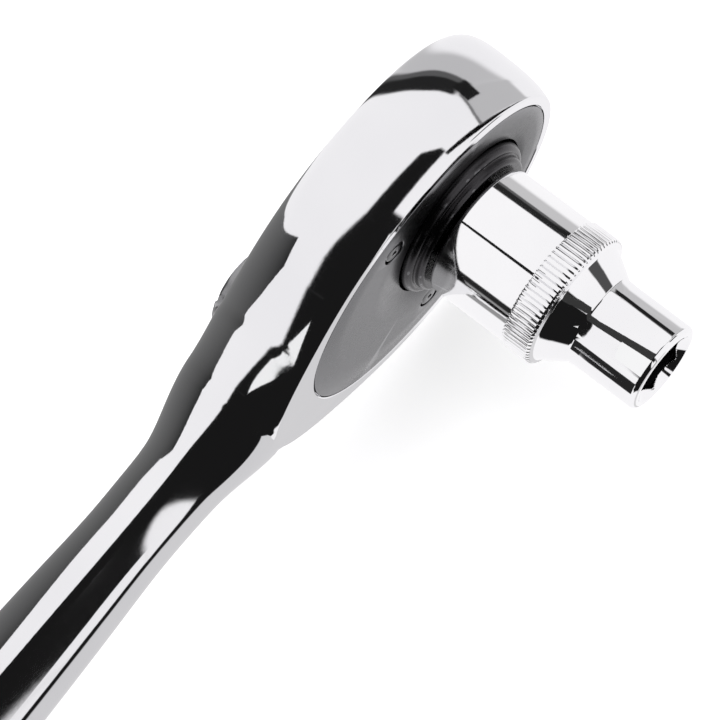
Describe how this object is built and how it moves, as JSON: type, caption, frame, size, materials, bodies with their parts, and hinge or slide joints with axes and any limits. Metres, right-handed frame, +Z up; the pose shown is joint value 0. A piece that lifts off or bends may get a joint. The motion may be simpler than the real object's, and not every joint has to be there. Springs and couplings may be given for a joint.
{
  "type": "ratchet wrench",
  "caption": "Reversible pear-head ratchet wrench lying on its side: chrome head, handle, reversing lever and quick release, with a knurled hex socket on its square drive.",
  "frame": {"origin": "on the drive axis, at the release button's flat end face", "axes": "+X along the handle from the head, +Y along the drive axis towards the socket, +Z up with the wrench on its side"},
  "size_m": [0.2513, 0.0649, 0.048],
  "materials": {
    "chrome_forging": "mirror-polished chrome plate on a drop forging",
    "chrome_socket": "polished chrome plate with a straight-knurled band",
    "satin_plate": "satin ground steel",
    "dark_steel": "dark hardened steel, smooth",
    "bright_steel": "bright turned steel",
    "spring_steel": "drawn spring wire and spring strip",
    "bronze": "plain bronze",
    "black_rubber": "matte nitrile rubber"
  },
  "bodies": {
    "wrench": {"head_and_handle": "chrome_forging", "cover_plate": "satin_plate", "cover_screw_upper": "bright_steel", "cover_screw_lower": "bright_steel", "thrust_washer": "bronze", "pawl_pin": "bright_steel"},
    "drive": {"drive_gear": "dark_steel", "drive_seal": "black_rubber", "release_spring": "spring_steel"},
    "release": {"release_button": "bright_steel"},
    "ball": {"retaining_ball": "bright_steel"},
    "socket": {"socket": "chrome_socket"},
    "pawl": {"pawl": "dark_steel"},
    "selector": {"selector_lever": "bright_steel", "selector_plunger": "bright_steel", "selector_spring": "spring_steel", "selector_clip": "spring_steel", "selector_seal": "black_rubber"}
  },
  "joints": [
    {"name": "drive_spin", "type": "hinge", "parent": "wrench", "child": "drive", "pos_m": [0, 0.022, 0], "axis": [0, 1, 0], "continuous": true},
    {"name": "socket_pull", "type": "slide", "parent": "drive", "child": "socket", "axis": [0, 1, 0], "range_m": [0, 0.018]},
    {"name": "release_press", "type": "slide", "parent": "drive", "child": "release", "axis": [0, 1, 0], "range_m": [0, 0.0022], "stiffness_N_per_m": 1200, "springref_m": -0.002, "deforming": ["release_spring"]},
    {"name": "ball_retract", "type": "slide", "parent": "drive", "child": "ball", "axis": [0, 0, -1], "range_m": [0, 0.0008]},
    {"name": "selector_turn", "type": "hinge", "parent": "wrench", "child": "selector", "pos_m": [0.028, 0.022, 0], "axis": [0, 1, 0], "range_deg": [0, 50]},
    {"name": "pawl_rock", "type": "hinge", "parent": "wrench", "child": "pawl", "pos_m": [0.0188, 0.022, 0], "axis": [0, 1, 0], "range_deg": [-8, 0]}
  ],
  "couplings": [
    {"joint": "ball_retract", "follows": "release_press", "ratio": 0.3636},
    {"joint": "pawl_rock", "follows": "selector_turn", "ratio": -0.16}
  ]
}
